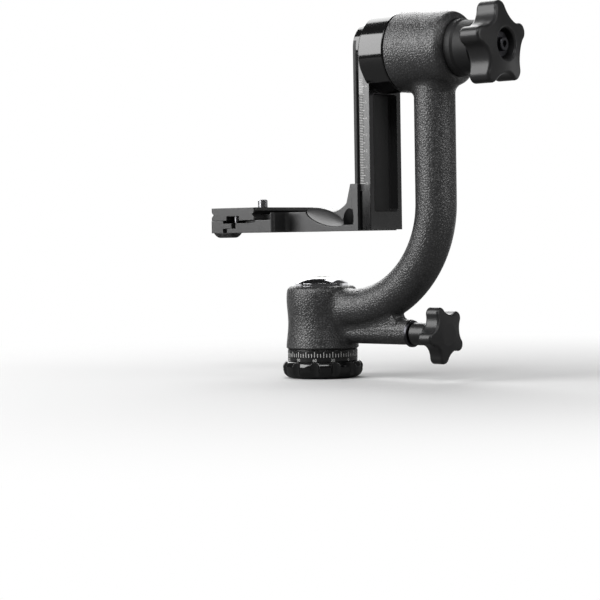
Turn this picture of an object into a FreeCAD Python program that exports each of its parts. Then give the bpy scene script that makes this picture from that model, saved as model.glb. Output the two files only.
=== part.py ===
import FreeCAD, Part
import math
import os

# Gimbal tripod head, millimetres, +Z up.
# Origin: centre of the base's bottom face, on the pan axis.
# +X runs along the tilt axis towards the tilt knob; the lens looks towards -Y.

os.makedirs("parts", exist_ok=True)
Vec = FreeCAD.Vector
origin = Vec(0, 0, 0)
along_x = Vec(1, 0, 0)
along_y = Vec(0, 1, 0)
along_z = Vec(0, 0, 1)

# Clearances
running_gap = 0.04      # radial, a shaft in its bush or thread
seat_gap = 0.02         # radial, a piece fixed in its seat
slide_gap = 0.15        # each side of a sliding piece
washer_gap = 0.2        # open line between turning faces

# Base: grip ring, dial and spindle
flange_r = 25.5
flange_top_r = 23.8
flange_foot_r = 20.5
flange_h = 10.5
flange_wide_z = 5.7
flute_count = 12
flute_r = 3.6
flute_depth = 1.7
flute_phase = -2.3
socket_r = 4.7625       # 3/8 inch tripod thread, modelled smooth
socket_depth = 9.0
dial_r = 22.35
dial_h = 7.8
spindle_foot_r = 17.0
spindle_r = 10.0
spindle_thread_r = 7.0
spindle_thread_h = 8.0
spindle_screw_ring_r = 13.4
spindle_screw_count = 4
m4_r = 2.0
m4_head_r = 3.7
m4_head_h = 2.0
spindle_screw_length = 13.0
thrust_washer_r = 20.4
thrust_washer_t = 0.8
clamp_washer_r = 13.5
clamp_washer_t = 1.5
pan_nut_flats = 21.0
pan_nut_h = 5.5

# Arm casting: pan boss
boss_h = 40.1
boss_foot_r = 23.3
boss_waist_r = 21.9
boss_shoulder_r = 22.5
boss_edge_r = 4.0
boss_foot_edge = 0.9
pan_bush_r = 12.0
lower_bush_h = 5.0
upper_bush_h = 8.0
boss_core_h = 27.5      # from the boss's foot to the floor of the nut cavity
nut_cavity_r = 15.3
level_r = 17.0
level_seat_depth = 0.6
level_edge_h = 2.3
level_t = 5.7
level_bulge = 0.5
level_plug_h = 2.6
vial_r = 7.0
vial_dome_h = 0.6

# Arm casting: J tube
tube_r = 12.7
tube_x = 91.4
tube_z = 44.0
bend_r = 66.0
tube_blend_r = 6.0
boss_blend_r = 6.0

# Arm casting: pan lock stub and its mechanism
stub_r = 6.9
stub_z = 29.0
stub_end_x = 71.2
web_half_t = 6.4
web_end_x = 60.8
web_rise = 1.9          # the stub is taller than round, towards the bend
shoe_r = 5.0
shoe_length = 12.0
lock_bush_r = 6.0
lock_bush_length = 12.0
lock_bush_flange_r = 8.3
lock_bush_flange_t = 2.0
stud_r = 3.0
pan_hub_r = 7.0
pan_hub_length = 15.8
pan_knob_tip_r = 18.3
pan_knob_lobe_r = 4.0
pan_knob_valley_r = 12.4
pan_knob_t = 9.4
pan_knob_crown = 1.3
pan_knob_edge_r = 1.6
pan_knob_phase = 44.0

# Arm casting: tilt housing
tilt_z = 202.6
housing_r = 24.9
housing_taper = 2.2
housing_x0 = 70.4
housing_x1 = 110.2
housing_shoulder_r = 5.0
housing_lip_r = 1.0
collar_seat_depth = 3.0

# Tilt shaft, bushes and lock
shaft_r = 10.0
shaft_head_r = 14.4
shaft_head_t = 5.3
shaft_head_inset = 0.5
shaft_screw_ring_r = 12.0
shaft_screw_count = 4
m3_r = 1.25
m3_head_r = 2.1
m3_head_h = 1.2
shaft_screw_length = 9.0
tilt_bush_r = 12.5
tilt_bush_length = 12.0
friction_washer_r = 21.0
friction_washer_t = 0.9
journal_r = 8.0
tilt_thread_r = 6.0
tilt_pitch = 1.75
tilt_knob_turn_deg = 360.0
collar_r = 17.3
collar_nose_r = 15.6
collar_length = 16.4
collar_pin_r = 1.5
collar_pin_wall = 0.3    # casting left between the outer bush and a pin
collar_pin_length = 12.0
collar_pin_engaged = 5.0
tilt_knob_x0 = 127.4
tilt_knob_t = 14.2      # at the lobes; the crown adds the rest
tilt_knob_crown = 3.0
tilt_knob_tip_r = 26.2
tilt_knob_lobe_r = 5.3
tilt_knob_valley_r = 17.4
tilt_knob_edge_r = 2.0
tilt_knob_rim_r = 11.0
tilt_knob_phase = 24.0
lobe_count = 5
knob_bore_r = 9.25
insert_r = 9.2
insert_length = 9.0
insert_inset = 1.0
stop_washer_r = 7.4
stop_washer_t = 1.0
stop_screw_r = 2.5
stop_screw_length = 9.0
stop_screw_head_r = 4.2
stop_screw_head_h = 2.6

# Swing arm
rail_x0 = 41.0
rail_x1 = 53.2
rail_half_w = 16.0
rail_bottom_z = 93.8
rail_crown_rise = 4.0
rail_edge_t = 2.0       # straight part of the dovetail's edge
groove_depth = 2.1
swing_boss_inset = 0.4  # how far the swing boss stays inside the housing's outline
swing_boss_r = housing_r - swing_boss_inset
swing_boss_edge_r = 1.5
washer_line = 0.5       # gap between the swing boss and the housing
pocket_half_w = 12.1
pocket_depth = 6.1
pocket_z0 = 105.2
pocket_z1 = 178.0
pocket_corner_r = 2.0

# Platform bracket
platform_bottom_z = 93.3
platform_top_z = 105.8
platform_half_w = 16.0
wall_top_z = 122.5
wall_top_t = 3.6
wall_foot_t = 6.8
wall_foot_z = 110.7
corner_x = 16.0
neck_corner_r = 3.0
claw_t = 2.35
claw_back_x = 39.3
far_claw_t = 3.2
gib_t = 1.05
gib_travel = 0.5
gib_z0 = 96.0
gib_z1 = 120.0
height_stud_r = 2.0
height_knob_z = 108.0
height_knob_r = 3.8
height_knob_t = 2.8
pad_r = 11.5            # the slanted round facet on the neck
pad_x = 10.85
pad_y = -8.5
pad_z = 102.5
pad_slope_deg = 28.6
pad_turn_deg = -11.2
hollow_x0 = 30.8        # the open hollow between the facet and the wall
hollow_x1 = 40.4
hollow_r = 4.6
hollow_floor_z = 97.1
hollow_back_y = 6.0

# Clamp
block_x0 = -46.5
block_x1 = -14.7
plate_half_length = 30.0
block_half_w = plate_half_length
block_top_z = 101.2
block_corner_r = 2.5
step_t = 2.2
relief_depth = 1.7       # the clamp floor is lower at its two ends
lip_half_w = 20.0
fixed_lip_t = 4.9
toe_length = 7.5
toe_top_z = 96.0
centre_pad_half_w = 12.4
centre_pad_length = 4.9
jaw_face_x = -57.4
tongue_length = 7.3
tongue_top_z = 99.4
jaw_lip_t = 3.8
clamp_axis_z = 97.9
clamp_screw_r = 2.5
clamp_screw_depth = 12.0
clamp_knob_r = 7.4
clamp_knob_length = 16.5
clamp_knob_edge_r = 1.6
guide_pin_r = 1.2
guide_pin_y = 22.0
guide_pin_depth = 8.0
guide_pin_reach = 15.0

# Quick-release plate
plate_x = -48.9
plate_half_w = 19.0
plate_t = 8.15
plate_rest_gap = 0.1
dovetail_rise = 1.3
dovetail_depth = 2.4
channel_half_w = 5.4
channel_depth = 2.75
screw_slot_travel = 10.0
camera_screw_r = 3.175  # 1/4 inch camera thread, modelled smooth
camera_screw_stand = 5.5
camera_screw_neck_r = 2.6  # thinner neck that keeps the screw in the plate's slot
camera_screw_head_r = 5.1
camera_screw_head_h = 2.0
pad_t = 0.6
pad_inlay = 0.5
pad_width = 8.0
pad_length = 50.0
pad_offset = 11.5
stop_pin_r = 1.45
stop_pin_y = 26.0
stop_pin_drop = 4.2

# Levels that follow from the sizes above
dial_top_z = flange_h + dial_h
arm_foot_z = dial_top_z + washer_gap
boss_top_z = arm_foot_z + boss_h
washer_foot_z = arm_foot_z - thrust_washer_t
core_top_z = arm_foot_z + boss_core_h
swing_face_x = housing_x0 - washer_line
housing_end_r = housing_r - housing_taper
claw_end_x = rail_x0 + rail_edge_t + groove_depth - washer_gap
shoulder_x = rail_x0 + rail_edge_t + groove_depth
plate_z0 = block_top_z + plate_rest_gap
plate_z1 = plate_z0 + plate_t
lip_top_z = plate_z0 + dovetail_rise + dovetail_depth - plate_rest_gap


def line(a, b):
    return Part.LineSegment(Vec(*a), Vec(*b)).toShape()


def arc(a, middle, b):
    return Part.Arc(Vec(*a), Vec(*middle), Vec(*b)).toShape()


def face_rz(start, steps):
    """A face in the half-plane y = 0; a step is (r, z), or (r, z, middle r, middle z) for an arc."""
    edges = []
    here = (start[0], 0, start[1])
    for step in list(steps) + [start]:
        there = (step[0], 0, step[1])
        if len(step) == 4:
            edges.append(arc(here, (step[2], 0, step[3]), there))
        else:
            edges.append(line(here, there))
        here = there
    return Part.Face(Part.Wire(edges))


def turned(start, *steps):
    return face_rz(start, steps).revolve(origin, along_z, 360)


def disc(r, z0, z1, x=0.0, y=0.0):
    return Part.makeCylinder(r, z1 - z0, Vec(x, y, z0))


def ring(r_out, r_in, z0, z1):
    return disc(r_out, z0, z1).cut(disc(r_in, z0 - 1, z1 + 1))


def on_x(shape, z=0.0, y=0.0):
    """Turns a shape that stands on +Z until it lies along +X at the given height."""
    lying = shape.copy()
    lying.rotate(origin, along_y, 90)
    lying.translate(Vec(0, y, z))
    return lying


def rod_x(r, x0, x1, z, y=0.0):
    return Part.makeCylinder(r, x1 - x0, Vec(x0, y, z), along_x)


def block(x0, x1, y0, y1, z0, z1):
    return Part.makeBox(x1 - x0, y1 - y0, z1 - z0, Vec(x0, y0, z0))


def prism_y(points, y0, y1):
    """Extrudes an x-z polygon from y0 to y1."""
    corners = [Vec(x, y0, z) for x, z in points]
    face = Part.Face(Part.makePolygon(corners + corners[:1]))
    return face.extrude(Vec(0, y1 - y0, 0))


def prism_z(points, z0, z1):
    """Extrudes an x-y polygon from z0 to z1."""
    corners = [Vec(x, y, z0) for x, y in points]
    face = Part.Face(Part.makePolygon(corners + corners[:1]))
    return face.extrude(Vec(0, 0, z1 - z0))


def edges_where(shape, test):
    return [edge for edge in shape.Edges if test(edge.BoundBox)]


def countersunk(r, head_r, head_h, length, gap=0.0):
    """A countersunk screw with its head's top at z = 0, or with a gap its hole."""
    return turned((0, 0), (head_r + gap, 0), (r + gap, -head_h), (r + gap, -length - gap), (0, -length - gap))


def hex_prism(flats, z0, z1):
    corner_r = flats / math.sqrt(3)
    points = []
    for k in range(6):
        angle = math.radians(60 * k + 30)
        points.append((corner_r * math.cos(angle), corner_r * math.sin(angle)))
    return prism_z(points, z0, z1)


def around(shape, count, ring_r, phase=0.0):
    """Copies of a shape on a circle about the z axis."""
    copies = []
    for k in range(count):
        copy = shape.copy()
        angle = math.radians(phase + 360.0 * k / count)
        copy.translate(Vec(ring_r * math.cos(angle), ring_r * math.sin(angle), 0))
        copies.append(copy)
    return copies


def star(tip_r, lobe_r, valley_r, thickness, phase):
    """A star knob's body on z = 0: round lobes joined by round valleys."""
    half = math.radians(180.0 / lobe_count)
    lobe_x = tip_r - lobe_r
    reach = lobe_r + lobe_x * math.cos(half) - valley_r
    hollow_r = (valley_r ** 2 + lobe_x ** 2 - 2 * lobe_x * valley_r * math.cos(half) - lobe_r ** 2) / (2 * reach)
    hollow_x = valley_r + hollow_r
    share = lobe_r / (lobe_r + hollow_r)

    def polar(r, angle):
        return Vec(r * math.cos(angle), r * math.sin(angle), 0)

    edges = []
    for k in range(lobe_count):
        middle = math.radians(phase) + 2 * half * k
        lobe = polar(lobe_x, middle)
        before = polar(hollow_x, middle - half)
        after = polar(hollow_x, middle + half)
        start = lobe + (before - lobe) * share
        end = lobe + (after - lobe) * share
        following = polar(lobe_x, middle + 2 * half)
        next_start = following + (after - following) * share
        edges.append(Part.Arc(start, polar(tip_r, middle), end).toShape())
        edges.append(Part.Arc(end, polar(valley_r, middle + half), next_start).toShape())
    return Part.Face(Part.Wire(edges)).extrude(Vec(0, 0, thickness))


def rounded_ends(shape, radius):
    """Rounds the edges that lie flat in the shape's two end faces."""
    return shape.makeFillet(radius, edges_where(shape, lambda box: box.ZLength < 1e-4))


def crowned_star(tip_r, lobe_r, valley_r, thickness, crown, rim_r, edge_r, phase):
    """A star knob on z = 0 with rounded edges; its front rises from the lobes' tips to a flat rim."""
    body = star(tip_r, lobe_r, valley_r, thickness + crown, phase)
    wide_r = tip_r + crown
    envelope = turned((0, 0), (wide_r, 0), (wide_r, thickness - crown * crown / (tip_r - rim_r)),
                      (rim_r, thickness + crown), (0, thickness + crown))
    body = body.common(envelope)
    rim = edges_where(body, lambda box: box.ZMin > thickness - crown and box.ZMax < thickness + crown - 0.1)
    foot = edges_where(body, lambda box: box.ZMax < 1e-4)
    return body.makeFillet(edge_r, rim + foot)


def base_flange():
    body = turned(
        (0, 0),
        (flange_foot_r, 0),
        (flange_r, flange_wide_z, flange_r - 1.5, flange_wide_z * 0.28),
        (flange_top_r, flange_h, flange_r - 0.25, flange_h - 1.6),
        (0, flange_h),
    )
    cutter = disc(flute_r, -1, flange_h + 1)
    body = body.cut(around(cutter, flute_count, flange_r - flute_depth + flute_r, flute_phase))
    body = body.cut(disc(socket_r, -1, socket_depth))
    return body.cut(spindle_screw_set(seat_gap))


def degree_dial():
    body = ring(dial_r, spindle_foot_r + seat_gap, flange_h, dial_top_z)
    body = body.cut(disc(thrust_washer_r + washer_gap, washer_foot_z, dial_top_z + 1))
    return body.makeChamfer(0.4, edges_where(body, lambda box: box.XLength > 2 * dial_r - 0.1 and box.ZLength < 0.01))


def spindle_screw_set(gap=0.0):
    screw = countersunk(m4_r, m4_head_r, m4_head_h, spindle_screw_length, gap)
    screw.translate(Vec(0, 0, washer_foot_z))
    return around(screw, spindle_screw_count, spindle_screw_ring_r, 45)


def spindle_screws():
    key = hex_prism(2.5, washer_foot_z - 1.4, washer_foot_z + 1)
    keys = around(key, spindle_screw_count, spindle_screw_ring_r, 45)
    return Part.makeCompound([screw.cut(hole) for screw, hole in zip(spindle_screw_set(), keys)])


def pan_spindle():
    shoulder_z = core_top_z - washer_gap
    thread_top_z = shoulder_z + spindle_thread_h
    body = turned(
        (0, flange_h),
        (spindle_foot_r, flange_h),
        (spindle_foot_r, washer_foot_z),
        (spindle_r, washer_foot_z),
        (spindle_r, shoulder_z),
        (spindle_thread_r, shoulder_z),
        (spindle_thread_r, thread_top_z - 1),
        (spindle_thread_r - 1, thread_top_z),
        (0, thread_top_z),
    )
    return body.cut(spindle_screw_set(seat_gap))


def pan_thrust_washer():
    return ring(thrust_washer_r, spindle_r + washer_gap, washer_foot_z, arm_foot_z)


def pan_clamp_washer():
    return ring(clamp_washer_r, spindle_thread_r + seat_gap, core_top_z, core_top_z + clamp_washer_t)


def pan_retaining_nut():
    z0 = core_top_z + clamp_washer_t
    nut = hex_prism(pan_nut_flats, z0, z0 + pan_nut_h)
    corner_r = pan_nut_flats / math.sqrt(3)
    crown = turned((0, z0), (corner_r - 1, z0), (corner_r, z0 + 1), (corner_r, z0 + pan_nut_h - 1),
                   (corner_r - 1, z0 + pan_nut_h), (0, z0 + pan_nut_h))
    return nut.common(crown).cut(disc(spindle_thread_r + seat_gap, z0 - 1, z0 + pan_nut_h + 1))


def soft_shell(points, shoulder_r):
    """A round body whose side is one smooth surface, so that a tube's blend can run over it."""
    end_r, end_z = points[-1]
    side_points = [Vec(r, 0, z) for r, z in points]
    for degrees in (30, 60, 90):
        angle = math.radians(degrees)
        inset = shoulder_r * (1 - math.cos(angle))
        side_points.append(Vec(end_r - inset, 0, end_z + shoulder_r * math.sin(angle)))
    side = Part.BSplineCurve()
    side.interpolate(Points=side_points, InitialTangent=side_points[1] - side_points[0], FinalTangent=Vec(-1, 0, 0))
    foot_r, foot_z = points[0]
    top_z = end_z + shoulder_r
    outline = [
        line((0, 0, foot_z), (foot_r, 0, foot_z)),
        side.toShape(),
        line((end_r - shoulder_r, 0, top_z), (0, 0, top_z)),
        line((0, 0, top_z), (0, 0, foot_z)),
    ]
    return Part.Face(Part.Wire(outline)).revolve(origin, along_z, 360)


def pan_boss():
    waist = (boss_waist_r, arm_foot_z + 0.44 * boss_h)
    shoulder = (boss_shoulder_r, boss_top_z - boss_edge_r)
    side = soft_shell([(boss_foot_r, arm_foot_z + boss_foot_edge), waist, shoulder], boss_edge_r)
    foot = turned((0, arm_foot_z), (boss_foot_r - boss_foot_edge, arm_foot_z), (boss_foot_r, arm_foot_z + boss_foot_edge),
                  (0, arm_foot_z + boss_foot_edge))
    return side.fuse(foot)


def j_tube():
    start_x = 4.0
    turn_x = tube_x - bend_r
    turn_z = tube_z + bend_r
    half = math.sqrt(0.5) * bend_r
    path = Part.Wire([
        line((start_x, 0, tube_z), (turn_x, 0, tube_z)),
        arc((turn_x, 0, tube_z), (turn_x + half, 0, turn_z - half), (tube_x, 0, turn_z)),
        line((tube_x, 0, turn_z), (tube_x, 0, tilt_z)),
    ])
    section = Part.Wire(Part.makeCircle(tube_r, Vec(start_x, 0, tube_z), along_x))
    return path.makePipeShell([section], True, False)


def tilt_housing():
    lip_x = housing_x0 + housing_lip_r
    shoulder_x = housing_x1 - housing_shoulder_r
    points = []
    for share in (0.0, 0.35, 0.7, 1.0):
        points.append((housing_r + share * (housing_end_r - housing_r), lip_x + share * (shoulder_x - lip_x)))
    shell = soft_shell(points, housing_shoulder_r)
    lip = turned((0, housing_x0), (housing_r - housing_lip_r, housing_x0), (housing_r, lip_x), (0, lip_x))
    body = shell.fuse(lip)
    body.rotate(origin, along_z, 180)
    return on_x(body, tilt_z)


def lock_web():
    """The web that ties the lock stub to the underside of the bend."""
    turn_x = tube_x - bend_r
    turn_z = tube_z + bend_r
    drop = math.sqrt(bend_r ** 2 - (web_end_x - 4 - turn_x) ** 2)
    ridge_z = stub_z + stub_r + web_rise
    points = [(4, stub_z), (web_end_x + 3, stub_z), (web_end_x + 3, ridge_z - 0.5), (web_end_x + 0.9, ridge_z + 1),
              (web_end_x, ridge_z + 3), (web_end_x, turn_z - drop - 6),
              (web_end_x - 4, turn_z - drop), (turn_x + 14, tube_z + 3), (4, tube_z)]
    return prism_y(points, -web_half_t, web_half_t).fuse(rod_x(stub_r, 4, stub_end_x, stub_z + web_rise))


def boss_seam(body):
    """The curve where the tube enters the boss's side."""
    low_z = tube_z - tube_r - seat_gap
    return edges_where(body, lambda box: box.ZMin > low_z and box.ZMax < boss_top_z - seat_gap
                       and box.XMin > tube_r and box.XMax < boss_foot_r and box.YLength > tube_r / 2)


def housing_seam(body):
    """The curve where the tube enters the underside of the housing."""
    low_z = tilt_z - housing_r - seat_gap
    return edges_where(body, lambda box: box.ZMin > low_z and box.ZMax < tilt_z - housing_r / 2
                       and box.XMin > tube_x - tube_r - seat_gap and box.XMax < tube_x + tube_r + seat_gap
                       and box.YLength > tube_r / 2)


def arm_casting():
    body = pan_boss().fuse(j_tube())
    body = body.makeFillet(boss_blend_r, boss_seam(body))
    body = body.fuse(tilt_housing())
    body = body.makeFillet(tube_blend_r, housing_seam(body))
    body = body.fuse([rod_x(stub_r, 4, stub_end_x, stub_z), lock_web()]).removeSplitter()
    pan_bore = disc(pan_bush_r + seat_gap, arm_foot_z - 1, core_top_z + 1)
    cavity = disc(nut_cavity_r, core_top_z, boss_top_z + 1)
    level_seat = disc(level_r + seat_gap, boss_top_z - level_seat_depth, boss_top_z + 1)
    shoe_bore = rod_x(shoe_r + running_gap, 0, stub_end_x, stub_z)
    bush_bore = rod_x(lock_bush_r + seat_gap, stub_end_x - lock_bush_length, stub_end_x + 1, stub_z)
    tilt_bore = rod_x(tilt_bush_r + seat_gap, housing_x0 - 1, housing_x1 + 1, tilt_z)
    washer_seat = rod_x(friction_washer_r + washer_gap, housing_x0 - 1, washer_inner_x(), tilt_z)
    collar_seat = rod_x(collar_r + slide_gap, housing_x1 - collar_seat_depth, housing_x1 + 1, tilt_z)
    pin_holes = [collar_pin(running_gap, 1.0, k) for k in range(2)]
    return body.cut([pan_bore, cavity, level_seat, shoe_bore, bush_bore, tilt_bore, washer_seat, collar_seat] + pin_holes)


def washer_inner_x():
    return swing_face_x + friction_washer_t


def pan_bush_lower():
    return ring(pan_bush_r, spindle_r + running_gap, arm_foot_z + washer_gap, arm_foot_z + lower_bush_h)


def pan_bush_upper():
    return ring(pan_bush_r, spindle_r + running_gap, core_top_z - upper_bush_h, core_top_z - washer_gap)


def level_housing():
    seat_z = boss_top_z - level_seat_depth
    edge_z = seat_z + level_edge_h
    top_z = seat_z + level_t
    rim_r = vial_r + 1.6
    plug_r = nut_cavity_r - seat_gap
    body = turned(
        (vial_r + seat_gap, seat_z - level_plug_h),
        (plug_r, seat_z - level_plug_h),
        (plug_r, seat_z),
        (level_r, seat_z),
        (level_r, edge_z),
        (rim_r, top_z, (level_r + rim_r) / 2, (edge_z + top_z) / 2 + level_bulge),
        (vial_r + seat_gap, top_z),
    )
    floor = disc(plug_r, seat_z - level_plug_h - 0.8, seat_z - level_plug_h)
    return body.fuse(floor)


def level_vial():
    seat_z = boss_top_z - level_seat_depth
    base_z = seat_z - level_plug_h
    rim_z = seat_z + level_t
    dome_r = (vial_r ** 2 + vial_dome_h ** 2) / (2 * vial_dome_h)
    half_turn = math.asin(vial_r / dome_r) / 2
    middle_r = dome_r * math.sin(half_turn)
    middle_z = rim_z + vial_dome_h - dome_r + dome_r * math.cos(half_turn)
    return turned((0, base_z), (vial_r, base_z), (vial_r, rim_z), (0, rim_z + vial_dome_h, middle_r, middle_z))


def pan_lock_bush():
    """Threaded bush in the stub's end; its flange is the ring that shows."""
    tube = turned((stud_r + running_gap, stub_end_x - lock_bush_length + washer_gap),
                  (lock_bush_r, stub_end_x - lock_bush_length + washer_gap),
                  (lock_bush_r, stub_end_x),
                  (lock_bush_flange_r, stub_end_x),
                  (lock_bush_flange_r, stub_end_x + lock_bush_flange_t - 0.4),
                  (lock_bush_flange_r - 0.4, stub_end_x + lock_bush_flange_t),
                  (stud_r + running_gap, stub_end_x + lock_bush_flange_t))
    return on_x(tube, stub_z)


def pan_brake_shoe():
    """Slides in the stub; its hollow end fits the spindle."""
    start_x = spindle_r - 1.5
    body = rod_x(shoe_r, start_x, start_x + shoe_length, stub_z)
    end_x = start_x + shoe_length
    body = body.makeChamfer(0.6, edges_where(body, lambda box: box.XMin > end_x - 0.01 and box.YLength > 1))
    return body.cut(disc(spindle_r + washer_gap, stub_z - 10, stub_z + 10))


def pan_hub_x():
    return stub_end_x + lock_bush_flange_t + washer_gap


def pan_stud_end_x():
    return pan_hub_x() + pan_hub_length + pan_knob_t - stud_r


def pan_lock_stud():
    start_x = spindle_r - 1.5 + shoe_length + 0.05
    return rod_x(stud_r, start_x, pan_stud_end_x(), stub_z)


def pan_knob():
    hub_x = pan_hub_x()
    body = crowned_star(pan_knob_tip_r, pan_knob_lobe_r, pan_knob_valley_r, pan_knob_t, pan_knob_crown, pan_hub_r,
                        pan_knob_edge_r, pan_knob_phase + 90)
    body.translate(Vec(0, 0, hub_x + pan_hub_length))
    hub = turned((0, hub_x), (pan_hub_r - 0.8, hub_x), (pan_hub_r, hub_x + 0.8),
                 (pan_hub_r, hub_x + pan_hub_length - 5), (pan_hub_r + 2.4, hub_x + pan_hub_length + 1),
                 (0, hub_x + pan_hub_length + 1))
    body = on_x(body.fuse(hub), stub_z)
    return body.cut(rod_x(stud_r + seat_gap, hub_x - 1, pan_stud_end_x(), stub_z))


def tilt_bush(x0):
    return on_x(ring(tilt_bush_r, shaft_r + running_gap, x0, x0 + tilt_bush_length), tilt_z)


def tilt_bush_inner():
    return tilt_bush(washer_inner_x() + washer_gap)


def tilt_bush_outer():
    return tilt_bush(housing_x1 - collar_seat_depth - tilt_bush_length)


def tilt_friction_washer():
    return on_x(ring(friction_washer_r, shaft_r + washer_gap, swing_face_x, washer_inner_x()), tilt_z)


def shaft_step_x():
    return housing_x1 - collar_seat_depth - 0.5


def shaft_end_x():
    return tilt_knob_x0 + insert_inset + insert_length + tilt_pitch * tilt_knob_turn_deg / 360 + 0.4


def tilt_shaft():
    head_x = rail_x0 + shaft_head_inset
    shank_x = head_x + shaft_head_t
    thread_x = tilt_knob_x0 - 0.5
    body = turned(
        (0, head_x),
        (shaft_head_r, head_x),
        (shaft_head_r, shank_x),
        (shaft_r, shank_x),
        (shaft_r, shaft_step_x()),
        (journal_r, shaft_step_x()),
        (journal_r, thread_x),
        (tilt_thread_r, thread_x),
        (tilt_thread_r, shaft_end_x()),
        (0, shaft_end_x()),
    )
    body = body.cut(disc(stop_screw_r + seat_gap, shaft_end_x() - stop_screw_length - 1, shaft_end_x() + 1))
    return on_x(body, tilt_z).cut(shaft_screw_set(seat_gap))


def shaft_screw_set(gap=0.0):
    screw = countersunk(m3_r, m3_head_r, m3_head_h, shaft_screw_length, gap)
    screw.rotate(origin, along_x, 180)
    screw.translate(Vec(0, 0, rail_x0 + shaft_head_inset))
    screws = around(screw, shaft_screw_count, shaft_screw_ring_r, 45)
    return [on_x(one, tilt_z) for one in screws]


def shaft_screws():
    key = hex_prism(1.6, rail_x0, rail_x0 + shaft_head_inset + 1.1)
    keys = around(key, shaft_screw_count, shaft_screw_ring_r, 45)
    keys = [on_x(one, tilt_z) for one in keys]
    return Part.makeCompound([screw.cut(hole) for screw, hole in zip(shaft_screw_set(), keys)])


def tilt_collar():
    """Pressure collar: turned, with a waisted cone towards the knob."""
    x0 = housing_x1 - collar_seat_depth + 0.05
    x1 = x0 + collar_length + collar_seat_depth
    flat_x = housing_x1 + 4.5
    body = turned(
        (journal_r + running_gap, x0),
        (collar_r, x0),
        (collar_r, flat_x),
        (collar_nose_r + 0.8, flat_x + 1.6),
        (collar_nose_r, x1 - 0.8),
        (collar_nose_r - 0.8, x1),
        (journal_r + running_gap, x1),
    )
    return on_x(body, tilt_z).cut([collar_pin(seat_gap, 0, k) for k in range(2)])


def collar_pin(gap, extra, k):
    """A dowel across the face between the collar and the housing's end."""
    x0 = housing_x1 - collar_seat_depth - collar_pin_engaged - extra
    y = tilt_bush_r + collar_pin_wall + collar_pin_r
    side = 1 if k == 0 else -1
    return rod_x(collar_pin_r + gap, x0, x0 + collar_pin_length + extra + gap, tilt_z, side * y)


def collar_pins():
    return Part.makeCompound([collar_pin(0, 0, k) for k in range(2)])


def tilt_knob():
    body = crowned_star(tilt_knob_tip_r, tilt_knob_lobe_r, tilt_knob_valley_r, tilt_knob_t, tilt_knob_crown,
                        tilt_knob_rim_r, tilt_knob_edge_r, tilt_knob_phase + 90)
    top = tilt_knob_t + tilt_knob_crown
    bore = turned((0, insert_inset), (knob_bore_r, insert_inset), (knob_bore_r, top - 1), (knob_bore_r + 1.2, top + 0.2),
                  (0, top + 0.2))
    body = body.cut([bore, disc(journal_r + 0.6, -1, insert_inset + 1)])
    body.translate(Vec(0, 0, tilt_knob_x0))
    return on_x(body, tilt_z)


def tilt_knob_insert():
    x0 = tilt_knob_x0 + insert_inset
    body = ring(insert_r, tilt_thread_r + running_gap, x0, x0 + insert_length)
    return on_x(body, tilt_z)


def tilt_stop_washer():
    return on_x(ring(stop_washer_r, stop_screw_r + seat_gap, shaft_end_x(), shaft_end_x() + stop_washer_t), tilt_z)


def tilt_stop_screw():
    x0 = shaft_end_x() + stop_washer_t
    body = turned(
        (0, x0 - stop_screw_length),
        (stop_screw_r, x0 - stop_screw_length),
        (stop_screw_r, x0),
        (stop_screw_head_r, x0),
        (stop_screw_head_r, x0 + stop_screw_head_h - 0.4),
        (stop_screw_head_r - 0.4, x0 + stop_screw_head_h),
        (0, x0 + stop_screw_head_h),
    )
    return on_x(body.cut(hex_prism(4.0, x0 + 0.6, x0 + stop_screw_head_h + 1)), tilt_z)


def swing_arm():
    crown_z = tilt_z + rail_crown_rise
    edge_x = rail_x0 + rail_edge_t
    deep = rail_half_w - groove_depth
    half = [(rail_x0, rail_half_w), (edge_x, rail_half_w), (shoulder_x, deep), (shoulder_x, rail_half_w),
            (rail_x1, rail_half_w)]
    outline = half + [(x, -y) for x, y in reversed(half)]
    rail = prism_z(outline, rail_bottom_z, crown_z)
    crown = rod_x(rail_half_w, rail_x0, rail_x1, crown_z)
    boss = turned((0, rail_x1 - 2.8), (swing_boss_r - swing_boss_edge_r, rail_x1 - 2.8),
                  (swing_boss_r, rail_x1 - 2.8 + swing_boss_edge_r), (swing_boss_r, swing_face_x - 0.6),
                  (swing_boss_r - 0.6, swing_face_x), (0, swing_face_x))
    body = rail.fuse([crown, on_x(boss, tilt_z)])
    pocket = block(rail_x1 - pocket_depth, rail_x1 + 1, -pocket_half_w, pocket_half_w, pocket_z0, pocket_z1)
    pocket = pocket.makeFillet(pocket_corner_r, edges_where(pocket, lambda box: box.XLength > 1 and box.YLength < 0.01))
    head = rod_x(shaft_head_r + seat_gap, rail_x0 - 1, rail_x0 + shaft_head_inset + shaft_head_t, tilt_z)
    bore = rod_x(shaft_r + seat_gap, rail_x0, swing_face_x + 1, tilt_z)
    return body.cut([pocket, head, bore] + shaft_screw_set(seat_gap))


def bracket_profile():
    """The L's outline seen along the lens axis."""
    wall_x = rail_x0 - slide_gap
    top_x = wall_x - wall_top_t
    foot_x = wall_x - wall_foot_t
    edges = [
        line((block_x1, 0, platform_bottom_z), (wall_x, 0, platform_bottom_z)),
        line((wall_x, 0, platform_bottom_z), (wall_x, 0, wall_top_z)),
        line((wall_x, 0, wall_top_z), (top_x, 0, wall_top_z)),
        line((top_x, 0, wall_top_z), (foot_x, 0, wall_foot_z)),
        arc((foot_x, 0, wall_foot_z), (foot_x - 4.6, 0, platform_top_z + 1.5), (corner_x, 0, platform_top_z)),
        line((corner_x, 0, platform_top_z), (block_x1, 0, platform_top_z)),
        line((block_x1, 0, platform_top_z), (block_x1, 0, platform_bottom_z)),
    ]
    return Part.Face(Part.Wire(edges))


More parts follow.
